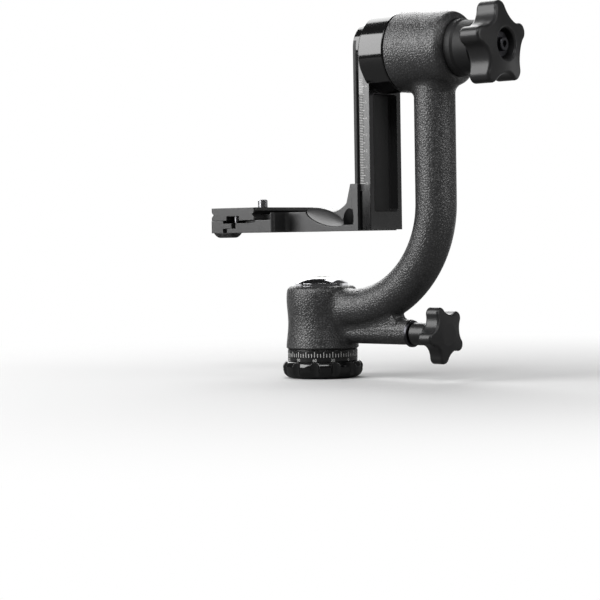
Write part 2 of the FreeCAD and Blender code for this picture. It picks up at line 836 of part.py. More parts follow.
def claw(side):
    """The hook that wraps one edge of the rail's dovetail."""
    wall_x = rail_x0 - slide_gap
    edge_x = rail_x0 + rail_edge_t + slide_gap
    inner_y = rail_half_w + slide_gap
    if side < 0:
        points = [(claw_back_x, platform_half_w), (wall_x, platform_half_w), (wall_x, inner_y), (edge_x, inner_y),
                  (claw_end_x, inner_y - (claw_end_x - edge_x)), (claw_end_x, inner_y + claw_t),
                  (claw_back_x, inner_y + claw_t)]
    else:
        gib_y = inner_y + gib_t + gib_travel + slide_gap
        points = [(claw_back_x, platform_half_w - 1), (wall_x, platform_half_w - 1), (wall_x, gib_y),
                  (claw_end_x, gib_y), (claw_end_x, gib_y + far_claw_t), (claw_back_x, gib_y + far_claw_t)]
    return prism_z([(x, side * y) for x, y in points], platform_bottom_z, wall_top_z)


def pad_column():
    """The round boss under the slanted facet, still at its full height."""
    rise = pad_r * math.tan(math.radians(pad_slope_deg))
    return disc(pad_r, platform_bottom_z, pad_z + rise, pad_x, pad_y)


def above_pad():
    """What is cut away above the slanted facet."""
    size = 4 * pad_r
    above = Part.makeBox(size, size, size, Vec(-size / 2, -size / 2, 0))
    above.rotate(origin, along_y, pad_slope_deg)
    above.rotate(origin, along_z, pad_turn_deg)
    above.translate(Vec(pad_x, pad_y, pad_z))
    return above.common(disc(pad_r, platform_bottom_z, pad_z + size, pad_x, pad_y))


def neck_hollow():
    """A long round-ended hollow, open to the front, from the facet to the foot of the wall."""
    depth = platform_half_w + pad_r + hollow_back_y
    z = hollow_floor_z + hollow_r
    ends = []
    for x in (hollow_x0 + hollow_r, hollow_x1 - hollow_r):
        ends.append(Part.makeCylinder(hollow_r, depth, Vec(x, hollow_back_y - depth, z), along_y))
    middle = block(hollow_x0 + hollow_r, hollow_x1 - hollow_r, hollow_back_y - depth, hollow_back_y,
                   z - hollow_r, z + hollow_r)
    return middle.fuse(ends)


def dovetail_lip(side, base_x, thickness, half_w):
    """A jaw lip that follows the lower half of the plate's dovetail; side is +1 for the fixed jaw."""
    rise_z = plate_z0 + dovetail_rise
    tip = lip_top_z - rise_z
    points = [(0, block_top_z - 0.5), (0, rise_z), (-tip, lip_top_z), (thickness, lip_top_z), (thickness, block_top_z - 0.5)]
    return prism_y([(base_x + side * x, z) for x, z in points], -half_w, half_w)


def platform_bracket():
    neck = bracket_profile().extrude(Vec(0, 2 * platform_half_w, 0))
    neck.translate(Vec(0, -platform_half_w, 0))
    slab = block(block_x0, block_x1, -block_half_w, block_half_w, platform_bottom_z, block_top_z)
    step = block(block_x1 - step_t, block_x1, -block_half_w, block_half_w, platform_bottom_z, platform_top_z)
    base = slab.fuse([step, neck]).removeSplitter()
    outer = edges_where(base, lambda box: abs(box.XMin - block_x1) < 0.01 and box.ZLength > 9
                        and max(box.YMax, -box.YMin) > block_half_w - 0.01)
    base = base.makeFillet(block_corner_r, outer)
    inner = edges_where(base, lambda box: abs(box.XMax - block_x1) < 0.01 and box.XLength < 0.01 and box.ZLength > 9
                        and abs(max(box.YMax, -box.YMin) - platform_half_w) < 0.01)
    base = base.makeFillet(neck_corner_r, inner)
    toe = block(block_x0 - toe_length, block_x0, -block_half_w, block_half_w, platform_bottom_z, toe_top_z)
    pad = block(block_x0 - centre_pad_length, block_x0, -centre_pad_half_w, centre_pad_half_w,
                platform_bottom_z, block_top_z)
    lip = dovetail_lip(1, plate_x + plate_half_w + plate_rest_gap, fixed_lip_t, lip_half_w)
    body = base.fuse([toe, pad, lip, claw(-1), claw(1), pad_column()])
    reliefs = []
    for side in (-1, 1):
        y0, y1 = sorted((side * lip_half_w, side * (block_half_w + 1)))
        reliefs.append(block(block_x0 - 1, plate_x + plate_half_w, y0, y1, block_top_z - relief_depth, block_top_z + 1))
    screw_hole = rod_x(clamp_screw_r + running_gap, block_x0 - toe_length - 1,
                       block_x0 + clamp_screw_depth + 1, clamp_axis_z)
    lock_hole = Part.makeCylinder(height_stud_r + running_gap, 2 * far_claw_t + gib_t,
                                  Vec(height_stud_x(), rail_half_w, height_knob_z), along_y)
    pins = [guide_pin(seat_gap, side) for side in (-1, 1)]
    return body.cut([above_pad(), neck_hollow(), screw_hole, lock_hole] + reliefs + pins).removeSplitter()


def height_stud_x():
    return (rail_x0 + claw_end_x) / 2


def height_gib():
    """Brass strip that the lock screw presses on the dovetail."""
    edge_x = rail_x0 + rail_edge_t + slide_gap
    inner_y = rail_half_w + slide_gap
    points = [(rail_x0 + slide_gap, inner_y), (edge_x, inner_y), (claw_end_x, inner_y - (claw_end_x - edge_x)),
              (claw_end_x, inner_y + gib_t), (rail_x0 + slide_gap, inner_y + gib_t)]
    return prism_z(points, gib_z0, gib_z1)


def far_claw_face_y():
    return rail_half_w + slide_gap + gib_t + gib_travel + slide_gap + far_claw_t


def height_lock_screw():
    y0 = rail_half_w + slide_gap + gib_t + 0.05
    y1 = far_claw_face_y() + washer_gap + height_knob_t - 1
    return Part.makeCylinder(height_stud_r, y1 - y0, Vec(height_stud_x(), y0, height_knob_z), along_y)


def height_knob():
    y0 = far_claw_face_y() + washer_gap
    body = Part.makeCylinder(height_knob_r, height_knob_t, Vec(height_stud_x(), y0, height_knob_z), along_y)
    body = body.makeFillet(0.6, edges_where(body, lambda box: box.YLength < 1e-4))
    bore = Part.makeCylinder(height_stud_r + seat_gap, height_knob_t, Vec(height_stud_x(), y0 - 1, height_knob_z), along_y)
    return body.cut(bore)


def guide_pin(gap, side):
    x0 = block_x0 - guide_pin_reach
    return rod_x(guide_pin_r + gap, x0, block_x0 + guide_pin_depth + gap, (toe_top_z + tongue_top_z) / 2, side * guide_pin_y)


def clamp_guide_pins():
    return Part.makeCompound([guide_pin(0, side) for side in (-1, 1)])


def jaw_outer_x():
    return plate_x - plate_half_w - plate_rest_gap


def clamp_jaw():
    x0 = jaw_outer_x()
    body = block(x0, jaw_face_x, -block_half_w, block_half_w, platform_bottom_z, block_top_z)
    body = body.makeFillet(1.2, edges_where(body, lambda box: box.XMax < x0 + 0.01 and box.ZLength > 5))
    tongues = []
    for side in (-1, 1):
        y0, y1 = sorted((side * (centre_pad_half_w + 0.6), side * block_half_w))
        tongues.append(block(jaw_face_x, jaw_face_x + tongue_length, y0, y1, toe_top_z + plate_rest_gap, tongue_top_z))
    lip = dovetail_lip(-1, x0, jaw_lip_t, lip_half_w)
    back = block(x0 - jaw_lip_t, x0, -lip_half_w, lip_half_w, platform_bottom_z, block_top_z)
    body = body.fuse(tongues + [lip, back]).removeSplitter()
    pins = []
    for side in (-1, 1):
        reach_x = block_x0 - guide_pin_reach
        pins.append(rod_x(guide_pin_r + running_gap, reach_x - 1, block_x0, (toe_top_z + tongue_top_z) / 2,
                          side * guide_pin_y))
    hole = rod_x(clamp_screw_r + washer_gap, x0 - jaw_lip_t - 1, jaw_face_x + 1, clamp_axis_z)
    return body.cut(pins + [hole])


def clamp_knob_x():
    return jaw_outer_x() - jaw_lip_t - 0.1


def clamp_screw():
    return rod_x(clamp_screw_r, clamp_knob_x() - clamp_knob_length + 3, block_x0 + clamp_screw_depth, clamp_axis_z)


def clamp_knob():
    x1 = clamp_knob_x()
    body = disc(clamp_knob_r, x1 - clamp_knob_length, x1)
    body = rounded_ends(body, clamp_knob_edge_r)
    body = on_x(body, clamp_axis_z)
    return body.cut(rod_x(clamp_screw_r + seat_gap, x1 - clamp_knob_length + 3, x1 + 1, clamp_axis_z))


def qr_plate():
    low = plate_half_w
    neck = plate_half_w - dovetail_depth
    z1 = plate_z0 + dovetail_rise
    z2 = z1 + dovetail_depth
    z3 = z2 + dovetail_depth
    half = [(low, plate_z0), (low, z1), (neck, z2), (low, z3), (low, plate_z1)]
    points = [(plate_x + x, z) for x, z in half] + [(plate_x - x, z) for x, z in reversed(half)]
    body = prism_y(points, -plate_half_length, plate_half_length)
    body = body.makeFillet(1.5, edges_where(body, lambda box: box.XLength < 0.01 and box.YLength < 0.01 and box.ZLength > 1))
    over = plate_half_length + 1
    channel = block(plate_x - channel_half_w, plate_x + channel_half_w, -over, over, plate_z0 - 1, plate_z0 + channel_depth)
    slot_r = camera_screw_r + slide_gap
    slot = block(plate_x - slot_r, plate_x + slot_r, -screw_slot_travel, screw_slot_travel, plate_z0, plate_z1 + 1)
    ends = [disc(slot_r, plate_z0, plate_z1 + 1, plate_x, side * screw_slot_travel) for side in (-1, 1)]
    pins = [disc(stop_pin_r + seat_gap, plate_z0, plate_z1 - 2, plate_x, side * stop_pin_y) for side in (-1, 1)]
    return body.cut([channel, slot] + ends + pins + pad_set(seat_gap))


def pad_set(gap=0.0):
    """Rubber strips let into the plate's top."""
    pads = []
    half_l = pad_length / 2 + gap
    half_w = pad_width / 2 + gap
    for side in (-1, 1):
        x = plate_x + side * pad_offset
        pads.append(block(x - half_w, x + half_w, -half_l, half_l, plate_z1 - pad_inlay, plate_z1 - pad_inlay + pad_t))
    return pads


def plate_pads():
    return Part.makeCompound(pad_set())


def plate_stop_screws():
    pins = []
    for side in (-1, 1):
        top_z = plate_z1 - 2 - seat_gap
        low_z = plate_z0 + channel_depth - stop_pin_drop
        pins.append(disc(stop_pin_r, low_z, top_z, plate_x, side * stop_pin_y))
    return Part.makeCompound(pins)


def camera_screw():
    head_top = plate_z0 + channel_depth - 0.05
    head_z = head_top - camera_screw_head_h
    top_z = plate_z1 + camera_screw_stand
    body = turned(
        (0, head_z),
        (camera_screw_head_r, head_z),
        (camera_screw_head_r, head_top),
        (camera_screw_neck_r, head_top),
        (camera_screw_neck_r, plate_z1 + washer_gap),
        (camera_screw_r, plate_z1 + washer_gap),
        (camera_screw_r, top_z - 0.7),
        (camera_screw_r - 0.7, top_z),
        (0, top_z),
    )
    slot = block(-6, 6, -0.7, 0.7, head_z - 1, head_z + 1.0)
    body = body.cut(slot)
    body.translate(Vec(plate_x, 0, 0))
    return body


makers = [
    base_flange, degree_dial, pan_spindle, spindle_screws, pan_thrust_washer, pan_clamp_washer, pan_retaining_nut,
    arm_casting, pan_bush_lower, pan_bush_upper, level_housing, level_vial, pan_lock_bush,
    pan_brake_shoe, pan_lock_stud, pan_knob,
    tilt_bush_inner, tilt_bush_outer, tilt_friction_washer, tilt_shaft, shaft_screws, tilt_collar, collar_pins,
    tilt_knob, tilt_knob_insert, tilt_stop_washer, tilt_stop_screw, swing_arm,
    platform_bracket, height_gib, height_lock_screw, height_knob, clamp_guide_pins,
    clamp_jaw, clamp_screw, clamp_knob, qr_plate, plate_pads, plate_stop_screws, camera_screw,
]

for make in makers:
    piece = make()
    solids = piece.Solids
    assert solids and all(solid.isValid() for solid in solids), make.__name__
    shape = solids[0] if len(solids) == 1 else Part.makeCompound(solids)
    shape.exportStep("parts/" + make.__name__ + ".step")
    box = shape.BoundBox
    print(f"{make.__name__:22} solids {len(solids)}  x {box.XMin:.1f} {box.XMax:.1f}"
          f"  y {box.YMin:.1f} {box.YMax:.1f}  z {box.ZMin:.1f} {box.ZMax:.1f}  volume {shape.Volume:.0f}")
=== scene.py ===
import math
import bpy
import bmesh
from mathutils import Euler, Matrix, Vector


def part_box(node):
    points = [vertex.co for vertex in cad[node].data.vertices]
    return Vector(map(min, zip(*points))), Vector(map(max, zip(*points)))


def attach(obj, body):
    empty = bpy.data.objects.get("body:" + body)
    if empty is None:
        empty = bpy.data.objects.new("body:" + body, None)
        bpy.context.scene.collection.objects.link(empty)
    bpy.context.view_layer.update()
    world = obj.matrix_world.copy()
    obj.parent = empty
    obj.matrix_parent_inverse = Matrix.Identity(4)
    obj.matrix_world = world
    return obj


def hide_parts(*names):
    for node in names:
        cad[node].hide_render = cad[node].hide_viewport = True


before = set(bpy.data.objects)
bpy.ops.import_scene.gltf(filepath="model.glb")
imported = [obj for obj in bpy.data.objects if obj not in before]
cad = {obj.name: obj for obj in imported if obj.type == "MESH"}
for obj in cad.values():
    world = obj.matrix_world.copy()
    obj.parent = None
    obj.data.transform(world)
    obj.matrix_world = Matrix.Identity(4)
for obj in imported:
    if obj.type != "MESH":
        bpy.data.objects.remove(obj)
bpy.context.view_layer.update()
mm = 0.001
print("loaded", len(cad), "nodes")

# where the turning pieces have their axes
panAxis = Vector((0, 0, 0))
tiltAxis = Vector((0, 0, 202.6 * mm))
stubAxis = Vector((0, 0, 29.0 * mm))
clampAxis = Vector((0, 0, 97.9 * mm))


def addObject(name, data):
    made = bpy.data.objects.new(name, data)
    bpy.context.scene.collection.objects.link(made)
    return made


def asMesh(name, shape):
    mesh = bpy.data.meshes.new(name)
    shape.to_mesh(mesh)
    shape.free()
    return mesh


def bakedMesh(source):
    # the mesh of an object with its modifiers done, or of a text
    bpy.context.view_layer.update()
    return bpy.data.meshes.new_from_object(source.evaluated_get(bpy.context.evaluated_depsgraph_get()))


# camera and studio, with places in metres

cameraSetup = {
    "place": (0.7930, -0.9701, 0.0901),
    "pitch": 88.147, "heading": 39.908, "roll": -0.928,
    "lens": 117.06, "sensor": 36, "nearest": 0.05,
}


def makeCamera(setup):
    data = bpy.data.cameras.new("headCamera")
    data.lens = setup["lens"]
    data.sensor_width = setup["sensor"]
    data.clip_start = setup["nearest"]
    camera = addObject("headCamera", data)
    aim = Euler((math.radians(setup["pitch"]), 0, math.radians(setup["heading"]))).to_matrix()
    aim = aim @ Matrix.Rotation(math.radians(setup["roll"]), 3, "Z")
    camera.rotation_euler = aim.to_euler()
    camera.location = setup["place"]
    bpy.context.scene.camera = camera


lampTarget = (0.02, 0, 0.12)
lamps = {
    # name: place, width, height, watts
    "keyBox": ((-0.53, -0.83, 0.585), 0.74, 0.94, 11.0),
    "sideBox": ((1.03, 0.12, 0.50), 0.45, 0.70, 2.6),
    "frontBox": ((0.50, -0.62, 0.95), 0.60, 0.40, 3.0),
    "lowBox": ((0.74, 0.86, 0.16), 0.60, 0.60, 0.24),
    "backBox": ((-0.69, 0.57, 0.75), 0.80, 0.90, 8.5),
}


def makeLamps(table, target):
    for name, (place, width, height, watts) in table.items():
        data = bpy.data.lights.new(name, "AREA")
        data.shape = "RECTANGLE"
        data.size = width
        data.size_y = height
        data.energy = watts
        lamp = addObject(name, data)
        lamp.visible_camera = False
        lamp.location = place
        lamp.rotation_euler = (Vector(target) - Vector(place)).to_track_quat("-Z", "Y").to_euler()


room = {
    "white": (1, 1, 1, 1),
    # light on plain surfaces, and what reflections see away from the sheet
    "fill": 0.13, "dim": 0.05,
    # a white sheet stands behind the head: its way, where it begins, and where it meets the floor
    "sheetWay": (-0.641, 0.767, 0.0), "sheetEdge": (0.84, 0.96), "sheetFoot": (0.25, 0.8),
    # the floor is pale to the camera and dark to everything else, and turns white past the shadow
    "floorSize": 12.0, "floorDrop": 0.2 * mm,
    "floorColour": (0.80, 0.80, 0.80, 1), "floorBounce": (0.16, 0.16, 0.16, 1),
    "shadowFade": (0.12, 0.55),
}


def addMath(tree, how, first, second):
    made = tree.nodes.new("ShaderNodeMath")
    made.operation = how
    for slot, value in ((0, first), (1, second)):
        if isinstance(value, (int, float)):
            made.inputs[slot].default_value = value
        else:
            tree.links.new(value, made.inputs[slot])
    return made.outputs[0]


def addRange(tree, value, low, high, fromLow=0.0, fromHigh=1.0, soft=False):
    made = tree.nodes.new("ShaderNodeMapRange")
    if soft:
        made.interpolation_type = "SMOOTHSTEP"
    for key, number in (("From Min", fromLow), ("From Max", fromHigh), ("To Min", low), ("To Max", high)):
        made.inputs[key].default_value = number
    tree.links.new(value, made.inputs["Value"])
    return made.outputs["Result"]


def addAlong(tree, place, way):
    # how far a place or a direction lies along one way
    made = tree.nodes.new("ShaderNodeVectorMath")
    made.operation = "DOT_PRODUCT"
    made.inputs[1].default_value = way
    tree.links.new(place, made.inputs[0])
    return made.outputs["Value"]


def addRays(tree, path, sheet):
    # mirrored rays, and how white the sheet is to the camera and in a reflection
    mirrored = addMath(tree, "MAXIMUM", path.outputs["Is Glossy Ray"], path.outputs["Is Transmission Ray"])
    inMirror = addMath(tree, "MULTIPLY", mirrored, sheet)
    return mirrored, addMath(tree, "MAXIMUM", path.outputs["Is Camera Ray"], inMirror)


def makeWorld(settings):
    world = bpy.data.worlds.new("studio")
    bpy.context.scene.world = world
    world.use_nodes = True
    tree = world.node_tree
    tree.nodes.clear()
    out = tree.nodes.new("ShaderNodeOutputWorld")
    back = tree.nodes.new("ShaderNodeBackground")
    back.inputs["Color"].default_value = settings["white"]
    path = tree.nodes.new("ShaderNodeLightPath")
    way = tree.nodes.new("ShaderNodeTexCoord")
    along = addAlong(tree, way.outputs["Generated"], settings["sheetWay"])
    sheet = addRange(tree, along, settings["dim"], 1.0, *settings["sheetEdge"], soft=True)
    mirrored, seen = addRays(tree, path, sheet)
    sharp = addMath(tree, "MAXIMUM", path.outputs["Is Camera Ray"], mirrored)
    plain = addMath(tree, "SUBTRACT", 1.0, sharp)
    strength = addMath(tree, "ADD", seen, addMath(tree, "MULTIPLY", plain, settings["fill"]))
    tree.links.new(strength, back.inputs["Strength"])
    tree.links.new(back.outputs["Background"], out.inputs["Surface"])


def makeFloor(settings):
    shape = bmesh.new()
    bmesh.ops.create_grid(shape, x_segments=2, y_segments=2, size=settings["floorSize"] / 2)
    mesh = asMesh("floor", shape)
    floor = addObject("floor", mesh)
    floor.location.z = -settings["floorDrop"]
    mat = bpy.data.materials.new("paleFloor")
    mat.use_nodes = True
    tree = mat.node_tree
    tree.nodes.clear()
    out = tree.nodes.new("ShaderNodeOutputMaterial")
    path = tree.nodes.new("ShaderNodeLightPath")
    paper = tree.nodes.new("ShaderNodeBsdfDiffuse")
    # sockets 6 and 7 of a mix node are its colours
    shade = tree.nodes.new("ShaderNodeMix")
    shade.data_type = "RGBA"
    shade.inputs[6].default_value = settings["floorBounce"]
    shade.inputs[7].default_value = settings["floorColour"]
    tree.links.new(path.outputs["Is Camera Ray"], shade.inputs[0])
    tree.links.new(shade.outputs[2], paper.inputs["Color"])
    glow = tree.nodes.new("ShaderNodeEmission")
    glow.inputs["Color"].default_value = settings["white"]
    glow.inputs["Strength"].default_value = 1.0
    place = tree.nodes.new("ShaderNodeTexCoord")
    length = tree.nodes.new("ShaderNodeVectorMath")
    length.operation = "LENGTH"
    tree.links.new(place.outputs["Object"], length.inputs[0])
    far = addRange(tree, length.outputs["Value"], 0.0, 1.0, *settings["shadowFade"], soft=True)
    along = addAlong(tree, place.outputs["Object"], settings["sheetWay"])
    sheet = addRange(tree, along, 0.0, 1.0, *settings["sheetFoot"], soft=True)
    seen = addRays(tree, path, sheet)[1]
    blend = tree.nodes.new("ShaderNodeMixShader")
    tree.links.new(addMath(tree, "MULTIPLY", far, seen), blend.inputs["Fac"])
    tree.links.new(paper.outputs["BSDF"], blend.inputs[1])
    tree.links.new(glow.outputs["Emission"], blend.inputs[2])
    tree.links.new(blend.outputs["Shader"], out.inputs["Surface"])
    mesh.materials.append(mat)


makeCamera(cameraSetup)
makeLamps(lamps, lampTarget)
makeWorld(room)
makeFloor(room)
bpy.context.scene.view_settings.view_transform = "Standard"
print("camera, lamps and floor are up")


# finishes: edges and depths in millimetres, patterns in repeats per metre

edgeLook = {"samples": 6, "wearFrom": (0.72, 0.985)}


class Finish:
    # a small hand for wiring one material
    def __init__(self, name, centre=(0, 0, 0), turn=(0, 0, 0)):
        self.mat = bpy.data.materials.new(name)
        self.mat.use_nodes = True
        self.tree = self.mat.node_tree
        self.shader = self.tree.nodes["Principled BSDF"]
        self.place = self.node("TexCoord").outputs["Object"]
        self.map = self.node("Mapping", vector_type="TEXTURE")
        self.map.inputs["Location"].default_value = centre
        self.map.inputs["Rotation"].default_value = [math.radians(angle) for angle in turn]
        self.link(self.place, self.map.inputs["Vector"])
        self.where = self.map.outputs["Vector"]

    def node(self, kind, **values):
        made = self.tree.nodes.new("ShaderNode" + kind)
        for key, value in values.items():
            if hasattr(made, key):
                setattr(made, key, value)
            else:
                made.inputs[key].default_value = value
        return made

    def link(self, source, target):
        self.tree.links.new(source, target)

    def noise(self, scale, detail=4.0, rough=0.55):
        made = self.node("TexNoise", Scale=scale, Detail=detail, Roughness=rough)
        self.link(self.where, made.inputs["Vector"])
        return made.outputs["Fac"]

    def spread(self, value, low, high, fromLow=0.0, fromHigh=1.0):
        return addRange(self.tree, value, low, high, fromLow, fromHigh)

    def add(self, first, second, how="ADD"):
        return addMath(self.tree, how, first, second)

    def blend(self, value, first, second):
        made = self.node("Mix", data_type="RGBA")
        for number, colour in ((6, first), (7, second)):
            if hasattr(colour, "is_output"):
                self.link(colour, made.inputs[number])
            else:
                made.inputs[number].default_value = (*colour, 1)
        self.link(value, made.inputs[0])
        return made.outputs[2]

    def softEdge(self, radius):
        # rounded normals near sharp edges, and how much each point is an edge
        edge = self.node("Bevel", samples=edgeLook["samples"])
        edge.inputs["Radius"].default_value = radius * mm
        facing = self.node("NewGeometry")
        dot = self.node("VectorMath", operation="DOT_PRODUCT")
        self.link(edge.outputs["Normal"], dot.inputs[0])
        self.link(facing.outputs["Normal"], dot.inputs[1])
        worn = self.spread(dot.outputs["Value"], 1.0, 0.0, *edgeLook["wearFrom"])
        return edge.outputs["Normal"], worn

    def bump(self, height, depth, strength, normal=None):
        made = self.node("Bump", Strength=strength, Distance=depth * mm)
        self.link(height, made.inputs["Height"])
        if normal is not None:
            self.link(normal, made.inputs["Normal"])
        return made.outputs["Normal"]

    def finish(self, colour, rough, normal, **fixed):
        for key, value in fixed.items():
            self.shader.inputs[key.replace("_", " ")].default_value = value
        for key, value in (("Base Color", colour), ("Roughness", rough), ("Normal", normal)):
            self.link(value, self.shader.inputs[key])
        return self.mat


crinkle = {
    # valley and peak are painted shade in the wrinkles' hollows and painted highlight on their crests
    "valleyShade": (0.018, 0.018, 0.0185), "peakHighlight": (0.066, 0.066, 0.067), "peakHighlightFrom": (0.1, 1.35),
    # the cells are pushed about by a swirl, and fine grain lies over them
    "swirl": 520.0, "push": 1.1, "cell": 620.0, "ridgeFrom": (0.02, 0.30), "grain": 1300.0,
    "grainHeight": 0.55, "edge": 0.5, "worn": (0.11, 0.11, 0.112), "wear": 0.5, "patch": 90.0,
    "patchFrom": (0.45, 0.7), "depth": 0.15, "strength": 0.9, "rough": (0.30, 0.42), "specular": 1.0,
}


def crinkleCoat(look):
    coat = Finish("crinkleCoat")
    normal, worn = coat.softEdge(look["edge"])
    swirl = coat.node("TexNoise", Scale=look["swirl"], Detail=2.0)
    coat.link(coat.where, swirl.inputs["Vector"])
    push = coat.node("VectorMath", operation="SCALE")
    push.inputs["Scale"].default_value = look["push"] * mm
    coat.link(swirl.outputs["Color"], push.inputs[0])
    moved = coat.node("VectorMath", operation="ADD")
    coat.link(coat.where, moved.inputs[0])
    coat.link(push.outputs["Vector"], moved.inputs[1])
    cells = coat.node("TexVoronoi", feature="DISTANCE_TO_EDGE", Scale=look["cell"])
    coat.link(moved.outputs["Vector"], cells.inputs["Vector"])
    ridge = coat.spread(cells.outputs["Distance"], 0.0, 1.0, *look["ridgeFrom"])
    grain = coat.noise(look["grain"], 3.0)
    height = coat.add(ridge, coat.spread(grain, 0.0, look["grainHeight"]))
    # painted shade and painted highlight: the colour darkens where the wrinkles are low and lightens where
    # they are high
    colour = coat.blend(coat.spread(height, 0.0, 1.0, *look["peakHighlightFrom"]), look["valleyShade"], look["peakHighlight"])
    patches = coat.spread(coat.noise(look["patch"]), 0.0, look["wear"], *look["patchFrom"])
    colour = coat.blend(coat.add(worn, patches, "MULTIPLY"), colour, look["worn"])
    rough = coat.spread(grain, *look["rough"])
    normal = coat.bump(height, look["depth"], look["strength"], normal)
    return coat.finish(colour, rough, normal, Specular_IOR_Level=look["specular"])


anodised = {
    # name: base, streak, edge colour, roughness low and high, edge radius
    "glossBlack": ((0.004, 0.004, 0.0042), (0.0065, 0.0065, 0.0068), (0.05, 0.05, 0.053),
                   (0.085, 0.135), 0.6),
    "satinBlack": ((0.004, 0.004, 0.0042), (0.008, 0.008, 0.0083), (0.06, 0.06, 0.063), (0.20, 0.30), 0.45),
    "plateBlack": ((0.018, 0.018, 0.0187), (0.03, 0.03, 0.031), (0.14, 0.14, 0.145), (0.28, 0.40), 0.4),
}
anodisedGrain = {
    "lines": 1500.0, "streakFrom": (0.35, 0.65), "lineRough": 0.02, "depth": 0.004, "strength": 0.5,
    "cloud": 60.0, "cloudFrom": (0.3, 0.7), "wear": 0.9, "wearFrom": (0.42, 0.66), "specular": 0.95,
}
dullPlacesAndPaintedLight = [
    # middle, half size, colour, roughness
    # the rail's pocket: painted light, its floor coloured lighter so that it looks as lit as the rim
    ((50.0, 0.0, 141.65), (3.2, 12.2, 36.7), (0.024, 0.024, 0.0245), 0.52),  # the rail's pocket
    ((50.9, -16.0, 155.0), (2.4, 0.4, 33.0), (0.024, 0.024, 0.0245), 0.30),  # behind the scale's figures
    ((46.0, -16.0, 148.0), (2.5, 0.4, 30.0), (0.010, 0.010, 0.0103), 0.58),  # behind its ticks
    ((41.8, -16.0, 162.0), (1.6, 0.7, 68.0), (0.006, 0.006, 0.0062), 0.66),  # where the clamp rubs the rail
]


def insideBox(coat, middle, half):
    # one inside a box given in millimetres
    parts = coat.node("SeparateXYZ")
    coat.link(coat.place, parts.inputs[0])
    inside = None
    for part, centre, reach in zip(parts.outputs, middle, half):
        away = coat.add(coat.add(part, centre * mm, "SUBTRACT"), 0.0, "ABSOLUTE")
        near = coat.add(away, reach * mm, "LESS_THAN")
        inside = near if inside is None else coat.add(inside, near, "MULTIPLY")
    return inside


def anodisedCoat(name, along=(1, 1, 1), places=()):
    base, streak, edgeColour, roughness, radius = anodised[name]
    look = anodisedGrain
    coat = Finish(name)
    normal, worn = coat.softEdge(radius)
    # fine lines of the tool, drawn out along one way
    coat.map.inputs["Scale"].default_value = along
    lines = coat.noise(look["lines"], 2.0)
    cloud = coat.noise(look["cloud"], 5.0)
    colour = coat.blend(coat.spread(lines, 0.0, 1.0, *look["streakFrom"]), base, streak)
    wear = coat.add(worn, coat.spread(cloud, 0.0, look["wear"], *look["wearFrom"]), "MULTIPLY")
    colour = coat.blend(wear, colour, edgeColour)
    lineRough = coat.spread(lines, -look["lineRough"], look["lineRough"])
    rough = coat.add(coat.spread(cloud, *roughness, *look["cloudFrom"]), lineRough)
    # each place gets its own colour and roughness; the colour of the rail's pocket is painted light
    for middle, half, tone, dullness in places:
        dull = insideBox(coat, middle, half)
        colour = coat.blend(dull, colour, tone)
        rough = coat.add(rough, coat.spread(dull, 0.0, dullness - roughness[1]))
    normal = coat.bump(lines, look["depth"], look["strength"], normal)
    return coat.finish(colour, rough, normal, Specular_IOR_Level=look["specular"])


moulded = {
    # name: base, light, grain scale, grain depth, roughness low and high, edge wear, specular
    "knobBlack": ((0.019, 0.019, 0.0195), (0.032, 0.032, 0.033), 1900.0, 0.02, (0.29, 0.38), 0.085, 0.55),
    "markInk": ((0.006, 0.006, 0.006), (0.012, 0.012, 0.012), 1500.0, 0.01, (0.30, 0.40), 0.03, 0.5),
    "collarBlack": ((0.013, 0.013, 0.0135), (0.024, 0.024, 0.0245), 1300.0, 0.05, (0.46, 0.60), 0.05, 0.42),
}
mouldedGrain = {"edge": 0.7, "cloud": 70.0, "wear": 0.6, "wearFrom": (0.45, 0.7), "strength": 0.6}


def mouldedCoat(name):
    base, light, grainScale, depth, roughness, edge, shine = moulded[name]
    look = mouldedGrain
    coat = Finish(name)
    normal, worn = coat.softEdge(look["edge"])
    grain = coat.noise(grainScale, 3.0)
    cloud = coat.noise(look["cloud"])
    wear = coat.add(worn, coat.spread(cloud, 0.0, look["wear"], *look["wearFrom"]), "MULTIPLY")
    colour = coat.blend(wear, coat.blend(cloud, base, light), (edge, edge, edge))
    normal = coat.bump(grain, depth, look["strength"], normal)
    return coat.finish(colour, coat.spread(cloud, *roughness), normal, Specular_IOR_Level=shine)


metals = {
    # name: colour, tarnish, roughness low and high
    "turnedSteel": ((0.58, 0.58, 0.60), (0.40, 0.40, 0.42), (0.20, 0.34)),
    "polishedRim": ((0.82, 0.82, 0.84), (0.60, 0.60, 0.62), (0.07, 0.15)),
    "blackSteel": ((0.10, 0.10, 0.11), (0.055, 0.055, 0.06), (0.26, 0.40)),
    "bearingBronze": ((0.58, 0.36, 0.16), (0.36, 0.21, 0.10), (0.30, 0.46)),
    "machinedBrass": ((0.72, 0.53, 0.24), (0.50, 0.35, 0.15), (0.20, 0.34)),
}
axes = {
    # axis: turn that lays the pattern's z along it, centre, metals turned about it
    "pan": ((0, 0, 0), panAxis, ("turnedSteel", "polishedRim", "blackSteel", "bearingBronze")),
    "tilt": ((0, 90, 0), tiltAxis, ("turnedSteel", "blackSteel", "bearingBronze")),
    "stub": ((0, 90, 0), stubAxis, ("turnedSteel", "blackSteel", "machinedBrass")),
    "clamp": ((0, 90, 0), clampAxis, ("turnedSteel", "machinedBrass")),
}
turning = {
    "rings": 900.0, "wobble": 1.2, "ringRough": 0.05, "depth": 0.006, "strength": 0.5,
    "cloud": 120.0, "tarnishFrom": (0.35, 0.7), "edge": 0.3, "wear": 0.5, "wornBrightness": 1.35,
}


